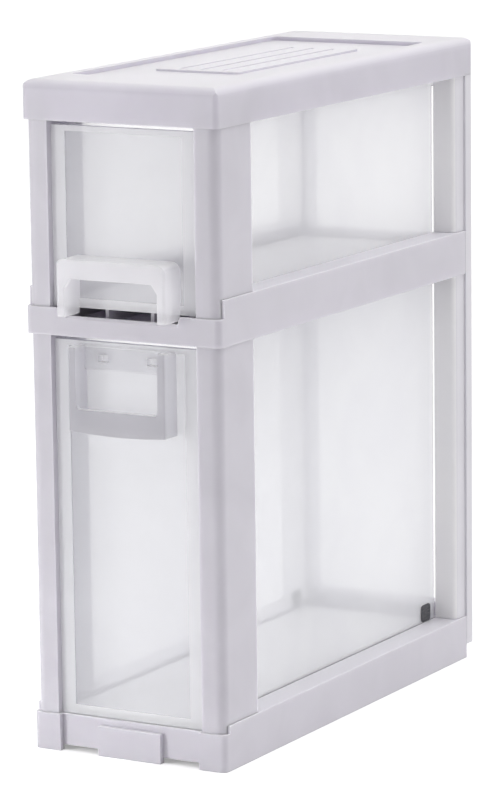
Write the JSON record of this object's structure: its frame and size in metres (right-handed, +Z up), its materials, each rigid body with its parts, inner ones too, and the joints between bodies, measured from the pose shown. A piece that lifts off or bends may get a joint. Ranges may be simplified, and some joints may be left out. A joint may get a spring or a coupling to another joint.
{
  "type": "stackable drawer box",
  "caption": "Narrow free-standing drawer box in translucent plastic: a shallow drawer over a deep one in an open frame of base, posts, shelf and cover, with moulded finger pulls.",
  "frame": {"origin": "centre of the bounding box on the floor plane, under the base", "axes": "+Z up; drawers open towards -Y; X across the front"},
  "size_m": [0.12, 0.309, 0.3655],
  "materials": {
    "frame_plastic": "milky satin",
    "cover_plastic": "milky satin",
    "drawer_plastic": "clear translucent",
    "pull_plastic": "translucent satin",
    "pad_rubber": "matte"
  },
  "bodies": {
    "cabinet": {"base": "frame_plastic", "middle_shelf": "frame_plastic", "top_cover": "cover_plastic", "back_frame": "frame_plastic", "lower_front_left_post": "frame_plastic", "lower_front_right_post": "frame_plastic", "lower_rear_left_post": "frame_plastic", "lower_rear_right_post": "frame_plastic", "upper_front_left_post": "frame_plastic", "upper_front_right_post": "frame_plastic", "upper_rear_left_post": "frame_plastic", "upper_rear_right_post": "frame_plastic"},
    "lower_drawer_body": {"lower_drawer": "drawer_plastic", "lower_pull": "pull_plastic", "left_glide_pad": "pad_rubber", "right_glide_pad": "pad_rubber"},
    "upper_drawer_body": {"upper_drawer": "drawer_plastic", "upper_pull": "pull_plastic"}
  },
  "joints": [
    {"name": "lower_drawer_slide", "type": "slide", "parent": "cabinet", "child": "lower_drawer_body", "axis": [0, -1, 0], "range_m": [0, 0.19]},
    {"name": "upper_drawer_slide", "type": "slide", "parent": "cabinet", "child": "upper_drawer_body", "axis": [0, -1, 0], "range_m": [0, 0.19]}
  ]
}
